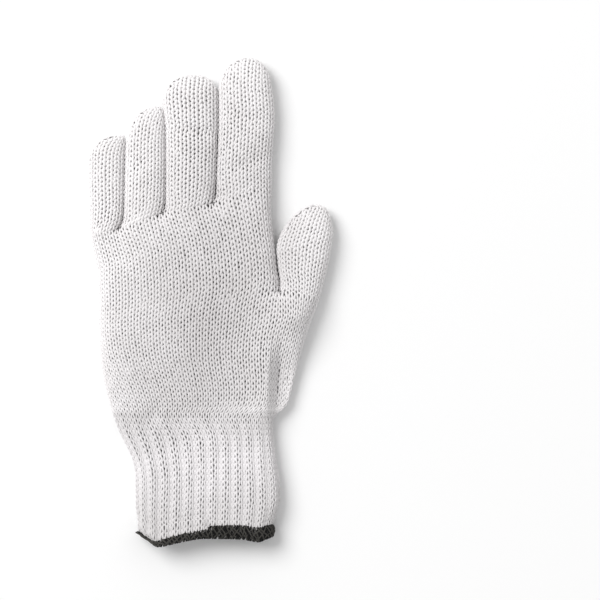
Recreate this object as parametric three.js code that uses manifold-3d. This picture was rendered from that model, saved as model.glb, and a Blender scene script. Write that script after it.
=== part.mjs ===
// A string-knit work glove that lies flat and empty: fingers towards +Y, thumb towards +X. Both of its
// sides are alike, so it fits either hand. Millimetres, +Z up. The origin is below the middle of its
// outline, on the surface that it lies on.
import * as THREE from "three";
import { mergeVertices } from "three/addons/utils/BufferGeometryUtils.js";
import Module from "manifold-3d";

// Driving dimensions
const WALL = 2.0; // thickness of the knitted fabric
const SPLIT = 0.35; // space left between two neighbouring pieces
const MID_HEIGHT = 6.5; // height of the side edges, where the upper and lower fabric meet
const LOWER_DEPTH = 7.4; // depth of the lower fabric under the side edges, before it is pressed flat
const ROOT_RISE = 7.6; // rise of the upper fabric over the side edges at the roots of the fingers
const UPPER_BLUNT = 2.15; // 2 gives an ellipse, and more gives a boxier section
const LOWER_BLUNT = 2.5;
const TIP_BLUNT = 2.2; // the same for a fingertip seen from the side
const EDGE_RADIUS = 15; // how far in from the side edge the palm reaches its full rise
const CUFF_RADIUS = 9; // how far in from the side edge the cuff reaches its full rise
const CUFF_LINE = -54.9; // where the palm's plain knit changes to the cuff's rib
const CUFF_END = -117.2; // the cuff's cut edge on the lower side
const THUMB_FORK = 0.54; // share of the palm's length at which the thumb leaves it
const FORK_VALLEY = 9; // length of the valley below the fork between two fingers
const VALLEY_FLOOR = 0.25; // how round the valley's floor is where it runs out
const RISE_BLEND = 0.25; // share of a finger over which the palm's rise turns into its own
const CUT_ABOVE_FORK = 1.8; // each finger starts this far above the fork
const BLADE_BESIDE = 10; // the cuts between the pieces run on this far past the side edges
const HEM_HEIGHT = 6.4;
const HEM_THREAD = 0.9;
const HEM_CLEAR = 0.55; // space between the hem and the fabric that it holds
const HEM_LIFT = 1.4; // the hem's thickness lifts the fabric above it off the surface
const HEM_LIFT_FROM = 0.7; // where on the cuff's length the fabric leaves the surface
const HEM_LIFT_OVER = 0.2; // share of the cuff's length over which it rises to that lift
const CUFF_STEPS = 30; // faces across one side of the cuff
const CUFF_ROWS = 6;
const WELD = 2e-3; // points closer than this are one point

// Each border runs up the palm between two fingers. root is its height at the finger roots.
const BORDERS = [
  {
    root: 33.9,
    rows: [
      { y: -54.9, x: -48.6 },
      { y: -43.6, x: -51.6 },
      { y: -31.1, x: -54.1 },
      { y: -18.6, x: -55.1 },
      { y: 1.4, x: -55.2 },
      { y: 16.4, x: -55.8 },
      { y: 26.4, x: -58.1 },
      { y: 33.9, x: -59.6 },
    ],
  },
  {
    root: 36.9,
    rows: [
      { y: -54.9, x: -36.4 },
      { y: -31, x: -38.4 },
      { y: -6, x: -37.9 },
      { y: 16, x: -41.6 },
      { y: 36.9, x: -46.1 },
    ],
  },
  {
    root: 44.9,
    rows: [
      { y: -54.9, x: -20.5 },
      { y: -29, x: -17.4 },
      { y: -3, x: -16.2 },
      { y: 22, x: -19.6 },
      { y: 44.9, x: -23.6 },
    ],
  },
  {
    root: 49.9,
    rows: [
      { y: -54.9, x: -2.3 },
      { y: -27, x: 6.2 },
      { y: 1, x: 9.1 },
      { y: 26, x: 6 },
      { y: 49.9, x: 1.6 },
    ],
  },
  {
    root: 57.4,
    rows: [
      { y: -54.9, x: 15.9 },
      { y: -25, x: 27.6 },
      { y: 5.7, x: 34.4 },
      { y: 11.4, x: 33.9 },
      { y: 16.4, x: 32.9 },
      { y: 26.4, x: 31.9 },
      { y: 36.4, x: 30.6 },
      { y: 46.4, x: 29.9 },
      { y: 57.4, x: 30.1 },
    ],
  },
  {
    root: 50.3,
    rows: [
      { y: -54.9, x: 33.9 },
      { y: -52, x: 37.2 },
      { y: -48.6, x: 38.8 },
      { y: -36.1, x: 41.9 },
      { y: -25.1, x: 44.9 },
      { y: -12.1, x: 48.9 },
      { y: 1.4, x: 53.9 },
      { y: 11.4, x: 56.4 },
    ],
  },
];

// rise is the upper fabric's height over the side edges along the palm, before the finger valleys.
const PALM_RISE = [
  { along: 0, rise: 7.4 },
  { along: 0.1, rise: 8.4 },
  { along: 0.35, rise: 9.6 },
  { along: 0.7, rise: 9.4 },
  { along: 1, rise: ROOT_RISE },
];

// rise is the same along the cuff. down is 0 at the palm and 1 at the cut edge.
const CUFF_RISE = [
  { down: 0, rise: 7.4 },
  { down: 0.3, rise: 7 },
  { down: 0.8, rise: 7.4 },
  { down: 1, rise: 8 },
];

// Where courses of the palm are laid as rows of the mesh, as shares of its length
const PALM_ROWS = [0, 0.035, 0.12, 0.22, 0.32, 0.41, 0.48, THUMB_FORK, 0.62, 0.72, 0.82, 0.9, 0.95, 1];

// Fingers from the little finger to the thumb. left and right are their side edges, tip is the
// middle of the fingertip's end, shoulder is where the rounding to the tip starts, and blunt says
// how square that rounding is on each side.
const DIGITS = [
  {
    name: "little_finger",
    color: 0xefeee9,
    faces: 6,
    rise: 6.3,
    tip: { x: -44.4, y: 83.8 },
    shoulder: 70,
    blunt: { left: 2.05, right: 3 },
    left: [
      { y: 33.9, x: -59.6 },
      { y: 51.4, x: -60.1 },
      { y: 61.4, x: -60.4 },
      { y: 68.9, x: -60.4 },
      { y: 76, x: -61 },
    ],
    right: [
      { y: 36.9, x: -46.1 },
      { y: 39.4, x: -45.2 },
      { y: 42.4, x: -44.4 },
      { y: 48.9, x: -43.8 },
      { y: 63.9, x: -43.5 },
      { y: 76, x: -43.1 },
      { y: 83, x: -42.7 },
    ],
  },
  {
    name: "ring_finger",
    color: 0xf2f1ec,
    faces: 6,
    rise: 7,
    tip: { x: -26.2, y: 97.7 },
    shoulder: 80,
    blunt: { left: 2.15, right: 3.4 },
    left: [
      { y: 36.9, x: -46.1 },
      { y: 39.4, x: -44.2 },
      { y: 42.4, x: -43.2 },
      { y: 48.9, x: -42.8 },
      { y: 63.9, x: -42.5 },
      { y: 76.4, x: -42.1 },
      { y: 84, x: -41.4 },
    ],
    right: [
      { y: 44.9, x: -23.6 },
      { y: 47.4, x: -23.4 },
      { y: 51.4, x: -23.1 },
      { y: 66.4, x: -22.9 },
      { y: 86.4, x: -22.9 },
      { y: 97, x: -23.2 },
    ],
  },
  {
    name: "middle_finger",
    color: 0xf2f1ed,
    faces: 7,
    rise: 8,
    tip: { x: -8.6, y: 113.4 },
    shoulder: 101.4,
    blunt: { left: 2.3, right: 2.4 },
    left: [
      { y: 44.9, x: -23.6 },
      { y: 47.4, x: -22.4 },
      { y: 51.4, x: -22 },
      { y: 66.4, x: -22 },
      { y: 86.4, x: -22.1 },
      { y: 95.4, x: -22.8 },
      { y: 101.4, x: -23.4 },
    ],
    right: [
      { y: 49.9, x: 1.6 },
      { y: 52.4, x: 1.8 },
      { y: 56.4, x: 2.1 },
      { y: 66.4, x: 2.5 },
      { y: 76.4, x: 2.9 },
      { y: 91.4, x: 3.4 },
      { y: 101.4, x: 3.5 },
    ],
  },
  {
    name: "index_finger",
    color: 0xf4f3ee,
    faces: 7,
    rise: 8,
    tip: { x: 18.4, y: 122.1 },
    shoulder: 106.4,
    blunt: { left: 2, right: 2.2 },
    left: [
      { y: 49.9, x: 1.6 },
      { y: 52.4, x: 2.9 },
      { y: 56.4, x: 3.3 },
      { y: 66.4, x: 3.6 },
      { y: 76.4, x: 4.1 },
      { y: 91.4, x: 4.5 },
      { y: 106.4, x: 4.6 },
    ],
    right: [
      { y: 57.4, x: 30.1 },
      { y: 68, x: 30.2 },
      { y: 81.4, x: 30.9 },
      { y: 92.4, x: 31.6 },
      { y: 100, x: 31.2 },
      { y: 108, x: 30.2 },
    ],
  },
  {
    name: "thumb",
    color: 0xf5f4f0,
    faces: 7,
    rise: 7.6,
    tip: { x: 51.9, y: 48.6 },
    shoulder: 26.4,
    blunt: { left: 1.6, right: 3.2 },
    left: [
      { y: 5.7, x: 34.4 },
      { y: 8, x: 35.1 },
      { y: 11.4, x: 35.2 },
      { y: 16.4, x: 34.4 },
      { y: 26.4, x: 33.4 },
    ],
    right: [
      { y: 1.9, x: 54.1 },
      { y: 11.4, x: 56.5 },
      { y: 23.9, x: 59.3 },
      { y: 33.9, x: 60.9 },
    ],
  },
];

// Rows of a finger's mesh: one just over the fork, even steps up to its shoulder, then equal angles
// round the tip
const FORK_ROW = 0.3; // of a step
const DIGIT_ROWS = 5;
const TIP_ROWS = 5;

// The cuff's side edges, from its end up to the palm
const CUFF_LEFT = [
  { y: -118, x: -35.6 },
  { y: -111, x: -35.9 },
  { y: -104, x: -36.9 },
  { y: -88.6, x: -37.1 },
  { y: -82.1, x: -37.9 },
  { y: -73.6, x: -40.9 },
  { y: -63.6, x: -45.6 },
  { y: -55.1, x: -48.6 },
];
const CUFF_RIGHT = [
  { y: -118, x: 30.5 },
  { y: -111.5, x: 30.8 },
  { y: -104.6, x: 33 },
  { y: -98.6, x: 34.5 },
  { y: -92, x: 34.4 },
  { y: -78.6, x: 32.4 },
  { y: -63.6, x: 30.9 },
  { y: -59, x: 31 },
  { y: -55.1, x: 33.8 },
];

// The wavy end of the hem on its upper side: it droops at the left and again at the right.
const HEM_END = [
  { x: -36.6, y: -115.6 },
  { x: -31.6, y: -119.1 },
  { x: -26.6, y: -122.1 },
  { x: -19.6, y: -120.8 },
  { x: -10.1, y: -118.8 },
  { x: -2.6, y: -117.9 },
  { x: 14.9, y: -118.2 },
  { x: 25.4, y: -119.6 },
  { x: 31.4, y: -117.6 },
];

// Creases and dents of the upper fabric: a long valley beside the thumb, the full web over it, and
// shallow hollows where the empty glove sinks. turn is in degrees from the X axis.
const CREASES = [
  { x: 34.5, y: -40, long: 22, wide: 6, turn: 88, depth: 4.2 },
  { x: 37.6, y: -3.5, long: 8, wide: 6, turn: 10, depth: -1.6 },
  { x: -28.5, y: -56, long: 7, wide: 3.5, turn: 60, depth: 1.6 },
  { x: -16, y: 8, long: 34, wide: 15, turn: 62, depth: 1.1 },
  { x: 16, y: -30, long: 30, wide: 11, turn: 100, depth: 0.9 },
  { x: -5.5, y: 82, long: 11, wide: 3.4, turn: 28, depth: 1 },
  { x: 20, y: 66, long: 12, wide: 4, turn: 70, depth: 0.8 },
  { x: -34, y: 70, long: 9, wide: 3.6, turn: 20, depth: 0.7 },
];

const mix = (a, b, share) => a + (b - a) * share;
const clamp01 = (value) => Math.min(1, Math.max(0, value));
const smooth = (value) => clamp01(value) ** 2 * (3 - 2 * clamp01(value));

// The smooth line through a table: its column `name` where its column `key` is `at`
function follow(rows, key, name, at) {
  const last = rows.length - 1;
  const slope = (i) => (rows[i + 1][name] - rows[i][name]) / (rows[i + 1][key] - rows[i][key]);
  const tangent = (i) => {
    if (i === 0) return slope(0);
    if (i === last) return slope(last - 1);
    const before = slope(i - 1);
    const after = slope(i);
    return before * after <= 0 ? 0 : (2 * before * after) / (before + after);
  };
  if (at <= rows[0][key]) return rows[0][name];
  if (at >= rows[last][key]) return rows[last][name];
  const i = rows.findIndex((row) => row[key] > at) - 1;
  const span = rows[i + 1][key] - rows[i][key];
  const t = (at - rows[i][key]) / span;
  const from = rows[i][name] * (1 + 2 * t) * (1 - t) ** 2 + tangent(i) * span * t * (1 - t) ** 2;
  const to = rows[i + 1][name] * t * t * (3 - 2 * t) + tangent(i + 1) * span * t * t * (t - 1);
  return from + to;
}

// A quarter of a section's outline: 0 at the side edge and 1 at a full radius from it
const lobe = (share, blunt) => (1 - (1 - clamp01(share)) ** blunt) ** (1 / blunt);

// The depth of every crease at a place
function creased(x, y) {
  return CREASES.reduce((sum, crease) => {
    const turn = THREE.MathUtils.degToRad(crease.turn);
    const along = (x - crease.x) * Math.cos(turn) + (y - crease.y) * Math.sin(turn);
    const across = (y - crease.y) * Math.cos(turn) - (x - crease.x) * Math.sin(turn);
    return sum + crease.depth * Math.exp(-((along / crease.long) ** 2) - (across / crease.wide) ** 2);
  }, 0);
}

// A point of the fabric's outside. fullness is 0 at a side edge and 1 in the middle of a section.
function fabric(x, y, side, fullness, rise) {
  if (side === "upper") {
    const sunk = creased(x, y) * fullness;
    return new THREE.Vector3(x, y, MID_HEIGHT + Math.max(0, rise * fullness - sunk));
  }
  return new THREE.Vector3(x, y, Math.max(0, MID_HEIGHT - LOWER_DEPTH * fullness));
}

// Points at equal distances along one side of a section
function spaced(pointAt, count) {
  const FINE = 48;
  const line = [];
  for (let i = 0; i <= FINE; i++) line.push(pointAt((1 - Math.cos((Math.PI * i) / FINE)) / 2));
  const length = [0];
  for (let i = 1; i <= FINE; i++) length.push(length[i - 1] + line[i].distanceTo(line[i - 1]));
  const points = [line[0]];
  let at = 1;
  for (let i = 1; i < count; i++) {
    const wanted = (length[FINE] * i) / count;
    while (length[at] < wanted) at++;
    const share = (wanted - length[at - 1]) / Math.max(length[at] - length[at - 1], 1e-9);
    points.push(line[at - 1].clone().lerp(line[at], share));
  }
  points.push(line[FINE]);
  return points;
}

// Where a course of the palm crosses each border
function crossings(along) {
  const used = along > THUMB_FORK ? BORDERS.slice(0, 5) : BORDERS;
  return used.map((border) => {
    const y = mix(CUFF_LINE, border.root, along);
    return { x: follow(border.rows, "y", "x", y), y };
  });
}

// How far the valley at a border cuts down: 1 at a side edge or a fork, 0 well below the fork
function valley(border, along) {
  if (border === 0 || border === 5) return 1;
  const fork = border === 4 ? THUMB_FORK : 1;
  const below = (fork - along) * (BORDERS[border].root - CUFF_LINE);
  return below <= 0 ? 1 : clamp01(1 - below / FORK_VALLEY) ** 2;
}

function palmPoint(along, digit, share, side) {
  const course = crossings(along);
  const x = mix(course[digit].x, course[digit + 1].x, share);
  const y = follow(course, "x", "y", x);
  const blunt = side === "upper" ? UPPER_BLUNT : LOWER_BLUNT;
  let fullness = 1;
  course.forEach((at, border) => {
    const cut = valley(border, along);
    const inner = border <= digit ? border : border - 1;
    const half = (course[inner + 1].x - course[inner].x) / 2;
    const other = inner === border ? border + 1 : border - 1;
    const outermost = cut === 1 && valley(other, along) < 1;
    const radius = outermost ? mix(EDGE_RADIUS, half, valley(other, along)) : half;
    const away = Math.hypot(Math.abs(x - at.x) / radius, VALLEY_FLOOR * (1 - cut));
    fullness *= 1 - cut * (1 - lobe(away, blunt));
  });
  return fabric(x, y, side, fullness, follow(PALM_RISE, "along", "rise", along));
}

// Where a row of a finger's mesh lies: up is its share of the way to the tip
function digitPoint(digit, up, share, side) {
  const { tip, shoulder, blunt, left, right, rise } = DIGITS[digit];
  const root = digit === 4 ? THUMB_FORK : 1;
  const course = crossings(root);
  const base = [course[digit], course[digit + 1]];
  const rootY = follow(course, "x", "y", mix(base[0].x, base[1].x, share));
  const edge = (rows, from, square) => {
    const y = mix(from, tip.y, up);
    const rounding = clamp01((y - shoulder) / (tip.y - shoulder));
    const x = follow(rows, "y", "x", y);
    return tip.x + (x - tip.x) * (1 - rounding ** square) ** (1 / square);
  };
  const x = mix(edge(left, base[0].y, blunt.left), edge(right, base[1].y, blunt.right), share);
  const y = mix(rootY, tip.y, up);
  const past = clamp01((y - shoulder) / (tip.y - shoulder));
  const closing = (1 - past ** TIP_BLUNT) ** (1 / TIP_BLUNT);
  const section = side === "upper" ? UPPER_BLUNT : LOWER_BLUNT;
  const fullness = lobe(2 * Math.min(share, 1 - share), section) * closing;
  const ownRise = mix(ROOT_RISE, rise, smooth(up / RISE_BLEND));
  return fabric(x, y, side, fullness, ownRise);
}

function triangle(positions, a, b, c) {
  const flat = new THREE.Triangle(a, b, c).getArea() < WELD ** 2;
  if (!flat) for (const p of [a, b, c]) positions.push(p.x, p.y, p.z);
}

// The faces between two rows of points, seen from outside
function band(positions, lower, upper, side) {
  for (let i = 0; i + 1 < lower.length; i++) {
    const [a, b, c, d] = [lower[i], lower[i + 1], upper[i + 1], upper[i]];
    if (side === "upper") {
      triangle(positions, a, b, c);
      triangle(positions, a, c, d);
    } else {
      triangle(positions, a, c, b);
      triangle(positions, a, d, c);
    }
  }
}

function merged(positions) {
  const geometry = new THREE.BufferGeometry();
  geometry.setAttribute("position", new THREE.Float32BufferAttribute(positions, 3));
  return mergeVertices(geometry, WELD);
}

// Gives an open skin its thickness: the same skin moved inwards, and rims round its open ends
function thicken(skin) {
  skin.computeVertexNormals();
  const outside = skin.getAttribute("position");
  const normal = skin.getAttribute("normal");
  const corners = Array.from(skin.index.array);
  const open = new Map();
  for (let i = 0; i < corners.length; i += 3) {
    for (const [m, n] of [[0, 1], [1, 2], [2, 0]]) {
      const edge = [corners[i + m], corners[i + n]];
      const back = edge[1] + "," + edge[0];
      if (open.has(back)) open.delete(back);
      else open.set(edge.join(), edge);
    }
  }
  const rim = new Set([...open.values()].flat());
  const count = outside.count;
  const positions = Array.from(outside.array);
  const way = new THREE.Vector3();
  for (let i = 0; i < count; i++) {
    way.fromBufferAttribute(normal, i);
    if (rim.has(i)) way.setY(0).normalize();
    positions.push(outside.getX(i) - way.x * WALL, outside.getY(i) - way.y * WALL);
    positions.push(outside.getZ(i) - way.z * WALL);
  }
  const faces = [...corners];
  for (let i = 0; i < corners.length; i += 3) {
    faces.push(corners[i] + count, corners[i + 2] + count, corners[i + 1] + count);
  }
  for (const [a, b] of open.values()) faces.push(b, a, a + count, b, a + count, b + count);
  const solid = new THREE.BufferGeometry();
  solid.setAttribute("position", new THREE.Float32BufferAttribute(positions, 3));
  solid.setIndex(faces);
  return solid;
}

// The palm, fingers and thumb as one open skin
function handSkin() {
  const positions = [];
  const palmSection = (along, digit, side) =>
    spaced((share) => palmPoint(along, digit, share, side), DIGITS[digit].faces);
  const digitSection = (digit, up, side) =>
    spaced((share) => digitPoint(digit, up, share, side), DIGITS[digit].faces);
  DIGITS.forEach((finger, digit) => {
    const root = digit === 4 ? THUMB_FORK : 1;
    const rows = PALM_ROWS.filter((along) => along <= root);
    const start = mix(CUFF_LINE, BORDERS[digit].root, root);
    const straight = (finger.shoulder - start) / (finger.tip.y - start);
    const ups = [(straight * FORK_ROW) / DIGIT_ROWS];
    for (let i = 1; i <= DIGIT_ROWS; i++) ups.push((straight * i) / DIGIT_ROWS);
    for (let i = 1; i <= TIP_ROWS; i++) {
      ups.push(mix(straight, 1, Math.sin((Math.PI / 2) * (i / TIP_ROWS))));
    }
    for (const side of ["upper", "lower"]) {
      const sections = rows.map((along) => palmSection(along, digit, side));
      for (const up of ups) sections.push(digitSection(digit, up, side));
      for (let i = 0; i + 1 < sections.length; i++) {
        band(positions, sections[i], sections[i + 1], side);
      }
    }
  });
  return merged(positions);
}

// A point of the cuff's outside
function cuffPoint(down, share, side) {
  const top = CUFF_LINE - SPLIT;
  const level = mix(top, CUFF_END, down);
  const x = mix(follow(CUFF_LEFT, "y", "x", level), follow(CUFF_RIGHT, "y", "x", level), share);
  const ends = [HEM_END[0], HEM_END[HEM_END.length - 1]];
  const span = ends[1].x - ends[0].x;
  const place = mix(ends[0].x, ends[1].x, share);
  const straight = mix(ends[0].y, ends[1].y, (place - ends[0].x) / span);
  const end = side === "upper" ? follow(HEM_END, "x", "y", place) : straight;
  const cut = end + HEM_THREAD + HEM_CLEAR;
  const y = mix(top, cut, down);
  const width = follow(CUFF_RIGHT, "y", "x", level) - follow(CUFF_LEFT, "y", "x", level);
  const edge = (Math.min(share, 1 - share) * width) / CUFF_RADIUS;
  const fullness = lobe(edge, side === "upper" ? UPPER_BLUNT : LOWER_BLUNT);
  const rise = follow(CUFF_RISE, "down", "rise", down);
  const lift = HEM_LIFT * smooth((down - HEM_LIFT_FROM) / HEM_LIFT_OVER);
  const point = fabric(x, y, side, fullness, rise);
  if (side === "lower") point.z = Math.max(point.z, lift);
  return point;
}

const cuffSection = (down, side) => spaced((share) => cuffPoint(down, share, side), CUFF_STEPS);

function cuffSkin() {
  const positions = [];
  for (let i = 0; i < CUFF_ROWS; i++) {
    for (const side of ["upper", "lower"]) {
      const above = cuffSection(i / CUFF_ROWS, side);
      band(positions, cuffSection((i + 1) / CUFF_ROWS, side), above, side);
    }
  }
  return merged(positions);
}

// The hem: thread wound over the cut edge, a channel that holds the edge from both sides
function hemSolid() {
  const reach = WALL + HEM_CLEAR;
  const channel = [
    { out: HEM_CLEAR + HEM_THREAD, up: 0 },
    { out: HEM_CLEAR + HEM_THREAD, up: HEM_HEIGHT },
    { out: HEM_CLEAR, up: HEM_HEIGHT },
    { out: HEM_CLEAR, up: HEM_THREAD },
    { out: -reach, up: HEM_THREAD },
    { out: -reach, up: HEM_HEIGHT },
    { out: -reach - HEM_THREAD, up: HEM_HEIGHT },
    { out: -reach - HEM_THREAD, up: 0 },
  ];
  const loop = (down) => [
    ...cuffSection(down, "upper"),
    ...cuffSection(down, "lower").slice(1, -1).reverse(),
  ];
  const edge = loop(1);
  const higher = loop(1 - 1 / CUFF_ROWS);
  const rings = edge.map((at, i) => {
    const before = edge[(i + edge.length - 1) % edge.length];
    const after = edge[(i + 1) % edge.length];
    const out = new THREE.Vector3(before.z - after.z, 0, after.x - before.x).normalize();
    const wall = higher[i].clone().sub(at);
    return channel.map((c) => {
      const up = c.up - HEM_THREAD - HEM_CLEAR;
      return at.clone().addScaledVector(wall, up / wall.y).addScaledVector(out, c.out);
    });
  });
  const positions = [];
  rings.forEach((ring, i) => {
    const next = rings[(i + 1) % rings.length];
    ring.forEach((a, j) => {
      const k = (j + 1) % ring.length;
      triangle(positions, a, next[j], next[k]);
      triangle(positions, a, next[k], ring[k]);
    });
  });
  return merged(positions);
}

const wasm = await Module();
wasm.setup();

function solid(geometry) {
  const clean = geometry.clone();
  clean.deleteAttribute("normal");
  clean.deleteAttribute("uv");
  const shared = mergeVertices(clean, WELD / 2);
  const vertProperties = new Float32Array(shared.getAttribute("position").array);
  const triVerts = new Uint32Array(shared.index.array);
  return new wasm.Manifold(new wasm.Mesh({ numProp: 3, vertProperties, triVerts }));
}

function geometryOf(body) {
  const mesh = body.getMesh();
  const geometry = new THREE.BufferGeometry();
  geometry.setAttribute("position", new THREE.Float32BufferAttribute(mesh.vertProperties, 3));
  geometry.setIndex(new THREE.Uint32BufferAttribute(mesh.triVerts, 1));
  return geometry.toNonIndexed();
}

// A thin upright blade along a line of places, which parts the fingers from the palm
function blade(places) {
  const outline = new THREE.Shape();
  outline.moveTo(places[0].x, places[0].y);
  for (const at of places.slice(1)) outline.lineTo(at.x, at.y);
  for (const at of [...places].reverse()) outline.lineTo(at.x, at.y + SPLIT);
  const tall = new THREE.ExtrudeGeometry(outline, { depth: 4 * MID_HEIGHT, bevelEnabled: false });
  return solid(tall.translate(0, 0, -MID_HEIGHT));
}

// A place past the side edge `to`, on the line from the border before it
function beyond(from, to) {
  const reach = Math.sign(to.x - from.x) * BLADE_BESIDE;
  return { x: to.x + reach, y: to.y + (reach * (to.y - from.y)) / (to.x - from.x) };
}

const above = (place) => ({ x: place.x, y: place.y + CUT_ABOVE_FORK });
const roots = crossings(1);
const fork = crossings(THUMB_FORK);
const fingerCut = [beyond(roots[1], roots[0]), ...roots, beyond(roots[3], roots[4])].map(above);
const thumbCut = [above(fork[4]), fork[5], beyond(fork[4], fork[5])].map(above);

const hand = solid(thicken(handSkin())).subtract(blade(fingerCut)).subtract(blade(thumbCut));
const bodies = hand.decompose();
const near = 1; // a body is known by the end that lies this near its place
const reaches = (body, tip) => {
  const { min, max } = body.boundingBox();
  return min[0] < tip.x && max[0] > tip.x && Math.abs(max[1] - tip.y) < near;
};

// Materials
const knit = (color) => new THREE.MeshStandardMaterial({ color, roughness: 0.95, metalness: 0 });
const overlock = new THREE.MeshStandardMaterial({ color: 0x3f4246, roughness: 0.9, metalness: 0 });

const glove = new THREE.Group();
glove.name = "knit_glove";

function add(name, geometry, material) {
  const mesh = new THREE.Mesh(geometry, material);
  mesh.name = name;
  glove.add(mesh);
}

for (const finger of DIGITS) {
  const body = bodies.find((candidate) => reaches(candidate, finger.tip));
  add(finger.name, geometryOf(body), knit(finger.color));
}
const palm = bodies.find((body) => body.boundingBox().min[1] < CUFF_LINE + near);
add("palm", geometryOf(palm), knit(0xf1f0eb));
add("rib_cuff", thicken(cuffSkin()), knit(0xecebe6));
add("overlock_hem", hemSolid(), overlock);

export default glove;
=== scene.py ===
# %% [markdown]
# # A string-knit work glove
# A glove machine knits this glove as a set of tubes, with one thick yarn: first the fingers, then the palm
# that joins them, the thumb, and last the cuff with elastic. What the eye reads as its surface is the yarn
# itself: rows of loops hooked through each other, with a small dark hole beside each of them.
# A noise pattern on a smooth skin would look painted from close by, so here the yarn is real geometry.
# Each course, which is one row of loops round a tube, is one closed ring of yarn.

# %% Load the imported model
import math

import bmesh
import bpy
import numpy as np
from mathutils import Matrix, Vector


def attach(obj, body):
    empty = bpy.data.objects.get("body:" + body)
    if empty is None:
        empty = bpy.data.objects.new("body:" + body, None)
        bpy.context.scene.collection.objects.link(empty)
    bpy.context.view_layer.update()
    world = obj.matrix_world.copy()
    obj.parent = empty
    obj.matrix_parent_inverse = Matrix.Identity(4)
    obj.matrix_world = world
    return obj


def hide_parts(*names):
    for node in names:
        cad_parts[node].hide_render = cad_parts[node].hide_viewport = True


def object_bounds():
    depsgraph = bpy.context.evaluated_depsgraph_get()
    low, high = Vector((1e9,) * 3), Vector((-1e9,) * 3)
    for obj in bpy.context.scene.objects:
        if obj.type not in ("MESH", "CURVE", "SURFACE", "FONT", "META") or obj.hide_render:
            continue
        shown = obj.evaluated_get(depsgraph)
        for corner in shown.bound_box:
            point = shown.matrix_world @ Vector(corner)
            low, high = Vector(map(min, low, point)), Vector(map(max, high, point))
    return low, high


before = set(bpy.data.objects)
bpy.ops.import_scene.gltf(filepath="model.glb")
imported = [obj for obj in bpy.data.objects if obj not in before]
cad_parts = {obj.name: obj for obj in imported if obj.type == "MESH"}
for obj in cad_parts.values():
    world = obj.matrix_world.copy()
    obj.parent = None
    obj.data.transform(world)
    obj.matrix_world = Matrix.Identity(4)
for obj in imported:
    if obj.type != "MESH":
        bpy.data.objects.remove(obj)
cad_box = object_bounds()
scene = bpy.context.scene
chance = np.random.default_rng(11)  # every random draw comes from here, so each run gives the same glove
print("nodes:", sorted(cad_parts))

# %% [markdown]
# ## The cloth before the yarn
# Yarn needs a surface to lie on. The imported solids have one, but no knowledge of which way the knitting
# runs. So the tables of the glove's outline are repeated here, in millimetres, and give every point of
# the cloth from two numbers: how far along the tube it is and how far round.
# That pair is the knitter's chart. Columns of loops are called wales and rows are called courses.

# %% The sizes of the cloth, in millimetres
MM = 0.001  # metres in a millimetre
WALL = 2.0  # thickness of the cloth
MID_HEIGHT = 6.5  # height of the side edges, where the upper and lower cloth meet
LOWER_DEPTH = 7.4  # depth of the lower cloth under the side edges, before it is pressed flat
ROOT_RISE = 7.6  # rise of the upper cloth over the side edges at the roots of the fingers
BLUNT = {"upper": 2.15, "lower": 2.5}  # 2 gives an elliptic section, and more a boxier one
TIP_BLUNT = 2.2  # the same for a fingertip seen from the side
EDGE_RADIUS = 15  # how far in from the side edge the palm reaches its full rise
CUFF_RADIUS = 9  # the same for the cuff
CUFF_LINE = -54.9  # where the plain knit changes to the cuff's rib
CUFF_END = -117.2  # how far down the tables of the cuff's side edges are followed
THUMB_FORK = 0.54  # share of the palm's length at which the thumb leaves it
FORK_VALLEY = 9  # length of the valley below the fork between two fingers
VALLEY_FLOOR = 0.25  # how round the valley's floor is where it runs out
RISE_BLEND = 0.25  # share of a finger over which the palm's rise turns into its own
HEM_LIFT = 1.4  # the hem's thickness lifts the cloth above it off the table
HEM_THREAD = 0.9  # thickness of the hem's thread
HEM_CLEAR = 0.55  # how far past the cloth's cut edge the middle of that thread goes round
THUMB_BORDER = 4  # the border that ends at the thumb's fork, counted from 0
SIDE_BORDERS = (0, 5)  # the borders that are side edges of the palm below the thumb

# Borders run up the palm, one along each side edge and one below each fork: the height at which the
# palm's length would end there, then rows of (y, x). The last border stops at the thumb.
BORDERS = [
    (33.9, [(-54.9, -48.6), (-43.6, -51.6), (-31.1, -54.1), (-18.6, -55.1), (1.4, -55.2), (16.4, -55.8),
            (26.4, -58.1), (33.9, -59.6)]),
    (36.9, [(-54.9, -36.4), (-31, -38.4), (-6, -37.9), (16, -41.6), (36.9, -46.1)]),
    (44.9, [(-54.9, -20.5), (-29, -17.4), (-3, -16.2), (22, -19.6), (44.9, -23.6)]),
    (49.9, [(-54.9, -2.3), (-27, 6.2), (1, 9.1), (26, 6), (49.9, 1.6)]),
    (57.4, [(-54.9, 15.9), (-25, 27.6), (5.7, 34.4), (11.4, 33.9), (16.4, 32.9), (26.4, 31.9),
            (36.4, 30.6), (46.4, 29.9), (57.4, 30.1)]),
    (50.3, [(-54.9, 33.9), (-52, 37.2), (-48.6, 38.8), (-36.1, 41.9), (-25.1, 44.9), (-12.1, 48.9),
            (1.4, 53.9), (11.4, 56.4)]),
]
PALM_RISE = [(0, 7.4), (0.1, 8.4), (0.35, 9.6), (0.7, 9.4), (1, ROOT_RISE)]  # rows of (along, rise)
CUFF_RISE = [(0, 7.4), (0.3, 7), (0.8, 7.4), (1, 8)]  # rows of (down, rise)
CUFF_LEFT = [(-118, -35.6), (-111, -35.9), (-104, -36.9), (-88.6, -37.1), (-82.1, -37.9), (-73.6, -40.9),
             (-63.6, -45.6), (-55.1, -48.6)]  # rows of (y, x)
CUFF_RIGHT = [(-118, 30.5), (-111.5, 30.8), (-104.6, 33), (-98.6, 34.5), (-92, 34.4), (-78.6, 32.4),
              (-63.6, 30.9), (-59, 31), (-55.1, 33.8)]
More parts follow.
